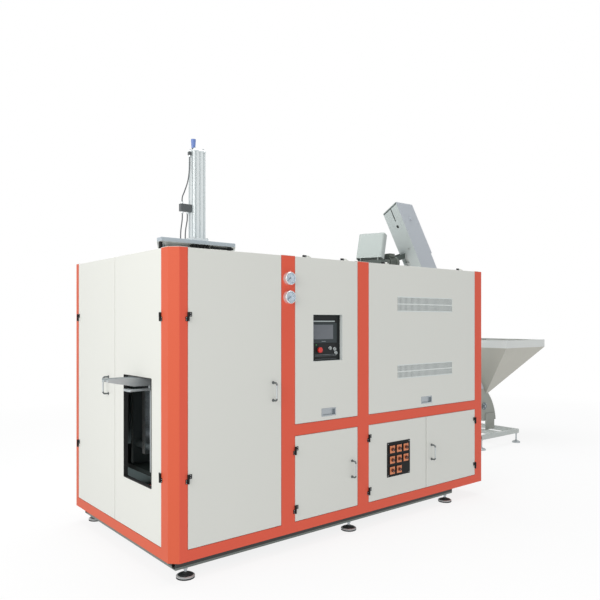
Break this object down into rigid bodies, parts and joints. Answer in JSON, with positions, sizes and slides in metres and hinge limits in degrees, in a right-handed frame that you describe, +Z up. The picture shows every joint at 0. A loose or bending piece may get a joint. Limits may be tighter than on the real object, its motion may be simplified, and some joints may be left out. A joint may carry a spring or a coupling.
{
  "type": "blow moulding machine",
  "caption": "Linear stretch blow moulding machine for bottles, with a doored cabinet, a lamp oven and a hopper-fed preform elevator.",
  "frame": {"origin": "on the floor, at the middle of the machine's outline", "axes": "+X along the long front to the right, +Y in from the front, +Z up"},
  "size_m": [6.166, 1.946, 2.867],
  "materials": {
    "orange_paint": "powder coat, satin",
    "cream_paint": "powder coat, satin",
    "dark_paint": "paint, satin",
    "grey_paint": "powder coat, satin",
    "feeder_paint": "powder coat, satin",
    "stand_paint": "powder coat, satin",
    "foot_metal": "dark zinc with a rubber sole",
    "black_metal": "black enamel, satin",
    "chrome": "polished",
    "steel": "ground",
    "aluminium": "anodised",
    "mould_metal": "machined",
    "galvanised": "galvanised",
    "black_plastic": "moulded, matte",
    "red_plastic": "moulded, glossy",
    "green_plastic": "moulded, glossy",
    "brown_plastic": "moulded, matte",
    "needle_black": "enamel",
    "belt_rubber": "food-grade belt, matte",
    "motor_paint": "enamel, satin",
    "lamp_metal": "polished sheet",
    "stainless": "brushed stainless"
  },
  "bodies": {
    "machine": {"base_frame": "dark_paint", "levelling_feet": "foot_metal", "cabinet_frame": "orange_paint", "roof_panels": "cream_paint", "fixed_panels": "cream_paint", "fixed_hinges": "black_metal", "gauge_cases": "chrome", "control_console": "black_plastic", "machine_bed": "grey_paint", "clamp_frame": "steel", "stretch_plate": "stand_paint", "stretch_mast": "aluminium", "mast_fittings": "black_plastic", "transfer_rails": "steel", "inner_walls": "galvanised", "preform_chain": "steel", "lamp_bank": "lamp_metal", "service_panels": "galvanised", "feeder_stand": "stand_paint", "feeder_casings": "feeder_paint", "elevator_belt": "belt_rubber", "hopper": "stainless", "gear_motors": "motor_paint"},
    "blow_door": {"blow_door": "cream_paint", "blow_door_handle": "chrome"},
    "pneumatic_door": {"pneumatic_door": "cream_paint", "pneumatic_door_handle": "chrome"},
    "electrical_door_left": {"electrical_door_left": "cream_paint", "regulator_panel": "black_metal"},
    "electrical_door_right": {"electrical_door_right": "cream_paint", "electrical_door_handle": "chrome"},
    "end_door_front": {"end_door_front": "cream_paint"},
    "end_door_rear": {"end_door_rear": "cream_paint", "end_door_handle": "chrome"},
    "control_flap": {"control_flap": "cream_paint"},
    "oven_flap": {"oven_flap": "cream_paint", "oven_vents": "grey_paint"},
    "gauge_needle_1": {"gauge_needle_1": "needle_black"},
    "gauge_needle_2": {"gauge_needle_2": "needle_black"},
    "emergency_stop": {"emergency_stop": "red_plastic"},
    "start_button": {"start_button": "green_plastic"},
    "reset_button": {"reset_button": "chrome"},
    "light_button": {"light_button": "chrome"},
    "front_mould_half": {"front_mould_half": "mould_metal"},
    "rear_mould_half": {"rear_mould_half": "mould_metal"},
    "base_mould": {"base_mould": "mould_metal"},
    "stretch_carriage": {"stretch_carriage": "steel"},
    "nozzle_bar": {"nozzle_bar": "aluminium"},
    "chain_wheel_left": {"chain_wheel_left": "steel"},
    "chain_wheel_right": {"chain_wheel_right": "steel"},
    "elevator_head_drum": {"elevator_head_drum": "steel"},
    "elevator_foot_drum": {"elevator_foot_drum": "steel"},
    "regulator_knob_1": {"regulator_knob_1": "brown_plastic"},
    "regulator_knob_2": {"regulator_knob_2": "brown_plastic"},
    "regulator_knob_3": {"regulator_knob_3": "brown_plastic"},
    "regulator_knob_4": {"regulator_knob_4": "brown_plastic"},
    "regulator_knob_5": {"regulator_knob_5": "brown_plastic"},
    "regulator_knob_6": {"regulator_knob_6": "brown_plastic"},
    "regulator_knob_7": {"regulator_knob_7": "brown_plastic"},
    "regulator_knob_8": {"regulator_knob_8": "brown_plastic"}
  },
  "joints": [
    {"name": "blow_door_swing", "type": "hinge", "parent": "machine", "child": "blow_door", "pos_m": [-2.7635, -0.9345, 1], "axis": [0, 0, -1], "range_deg": [0, 110]},
    {"name": "pneumatic_door_swing", "type": "hinge", "parent": "machine", "child": "pneumatic_door", "pos_m": [-1.9418, -0.9345, 0.48], "axis": [0, 0, -1], "range_deg": [0, 110]},
    {"name": "electrical_left_swing", "type": "hinge", "parent": "machine", "child": "electrical_door_left", "pos_m": [-1.2295, -0.9345, 0.48], "axis": [0, 0, -1], "range_deg": [0, 110]},
    {"name": "electrical_right_swing", "type": "hinge", "parent": "machine", "child": "electrical_door_right", "pos_m": [0.1115, -0.9345, 0.48], "axis": [0, 0, 1], "range_deg": [0, 110]},
    {"name": "end_front_swing", "type": "hinge", "parent": "machine", "child": "end_door_front", "pos_m": [-2.8775, -0.791, 1], "axis": [0, 0, 1], "range_deg": [0, 110]},
    {"name": "end_rear_swing", "type": "hinge", "parent": "machine", "child": "end_door_rear", "pos_m": [-2.8775, 0.5915, 1], "axis": [0, 0, -1], "range_deg": [0, 110]},
    {"name": "control_flap_swing", "type": "hinge", "parent": "machine", "child": "control_flap", "pos_m": [-1.64375, -0.9005, 2.0075], "axis": [-1, 0, 0], "range_deg": [0, 85]},
    {"name": "oven_flap_swing", "type": "hinge", "parent": "machine", "child": "oven_flap", "pos_m": [-0.559, -0.9005, 2.0075], "axis": [-1, 0, 0], "range_deg": [0, 85]},
    {"name": "gauge_1_sweep", "type": "hinge", "parent": "machine", "child": "gauge_needle_1", "pos_m": [-2.00035, -0.946, 1.843], "axis": [0, 1, 0], "range_deg": [0, 270]},
    {"name": "gauge_2_sweep", "type": "hinge", "parent": "machine", "child": "gauge_needle_2", "pos_m": [-2.00035, -0.946, 1.717], "axis": [0, 1, 0], "range_deg": [0, 270]},
    {"name": "knob_1_turn", "type": "hinge", "parent": "electrical_door_left", "child": "regulator_knob_1", "pos_m": [-0.975, -0.9353, 0.558], "axis": [0, 1, 0], "range_deg": [0, 270]},
    {"name": "knob_2_turn", "type": "hinge", "parent": "electrical_door_left", "child": "regulator_knob_2", "pos_m": [-0.896, -0.9353, 0.558], "axis": [0, 1, 0], "range_deg": [0, 270]},
    {"name": "knob_3_turn", "type": "hinge", "parent": "electrical_door_left", "child": "regulator_knob_3", "pos_m": [-0.817, -0.9353, 0.558], "axis": [0, 1, 0], "range_deg": [0, 270]},
    {"name": "knob_4_turn", "type": "hinge", "parent": "electrical_door_left", "child": "regulator_knob_4", "pos_m": [-0.975, -0.9353, 0.476], "axis": [0, 1, 0], "range_deg": [0, 270]},
    {"name": "knob_5_turn", "type": "hinge", "parent": "electrical_door_left", "child": "regulator_knob_5", "pos_m": [-0.896, -0.9353, 0.476], "axis": [0, 1, 0], "range_deg": [0, 270]},
    {"name": "knob_6_turn", "type": "hinge", "parent": "electrical_door_left", "child": "regulator_knob_6", "pos_m": [-0.817, -0.9353, 0.476], "axis": [0, 1, 0], "range_deg": [0, 270]},
    {"name": "knob_7_turn", "type": "hinge", "parent": "electrical_door_left", "child": "regulator_knob_7", "pos_m": [-0.975, -0.9353, 0.394], "axis": [0, 1, 0], "range_deg": [0, 270]},
    {"name": "knob_8_turn", "type": "hinge", "parent": "electrical_door_left", "child": "regulator_knob_8", "pos_m": [-0.896, -0.9353, 0.394], "axis": [0, 1, 0], "range_deg": [0, 270]},
    {"name": "emergency_stop_push", "type": "slide", "parent": "machine", "child": "emergency_stop", "axis": [0, 1, 0], "range_m": [0, 0.006], "stiffness_N_per_m": 1200},
    {"name": "start_button_push", "type": "slide", "parent": "machine", "child": "start_button", "axis": [0, 1, 0], "range_m": [0, 0.0035], "stiffness_N_per_m": 900},
    {"name": "reset_button_push", "type": "slide", "parent": "machine", "child": "reset_button", "axis": [0, 1, 0], "range_m": [0, 0.0035], "stiffness_N_per_m": 900},
    {"name": "light_button_push", "type": "slide", "parent": "machine", "child": "light_button", "axis": [0, 1, 0], "range_m": [0, 0.0035], "stiffness_N_per_m": 900},
    {"name": "front_mould_shut", "type": "slide", "parent": "machine", "child": "front_mould_half", "axis": [0, 1, 0], "range_m": [0, 0.0695]},
    {"name": "rear_mould_shut", "type": "slide", "parent": "machine", "child": "rear_mould_half", "axis": [0, -1, 0], "range_m": [0, 0.0695]},
    {"name": "base_mould_lift", "type": "slide", "parent": "machine", "child": "base_mould", "axis": [0, 0, 1], "range_m": [0, 0.0451]},
    {"name": "stretch_stroke", "type": "slide", "parent": "machine", "child": "stretch_carriage", "axis": [0, 0, -1], "range_m": [0, 0.33]},
    {"name": "nozzle_stroke", "type": "slide", "parent": "machine", "child": "nozzle_bar", "axis": [0, 0, -1], "range_m": [0, 0.025]},
    {"name": "chain_wheel_left_spin", "type": "hinge", "parent": "machine", "child": "chain_wheel_left", "pos_m": [-1.54, -0.157, 1.16], "axis": [0, 0, 1], "continuous": true},
    {"name": "chain_wheel_right_spin", "type": "hinge", "parent": "machine", "child": "chain_wheel_right", "pos_m": [-0.27, -0.157, 1.16], "axis": [0, 0, 1], "continuous": true},
    {"name": "head_drum_spin", "type": "hinge", "parent": "machine", "child": "elevator_head_drum", "pos_m": [0.79192, 0.5255, 2.70485], "axis": [0, 1, 0], "continuous": true},
    {"name": "foot_drum_spin", "type": "hinge", "parent": "machine", "child": "elevator_foot_drum", "pos_m": [2.2104, 0.5255, 0.4783], "axis": [0, 1, 0], "continuous": true}
  ],
  "couplings": [
    {"joint": "rear_mould_shut", "follows": "front_mould_shut", "ratio": 1},
    {"joint": "base_mould_lift", "follows": "front_mould_shut", "ratio": 0.6475},
    {"joint": "chain_wheel_right_spin", "follows": "chain_wheel_left_spin", "ratio": 1},
    {"joint": "foot_drum_spin", "follows": "head_drum_spin", "ratio": 1}
  ]
}
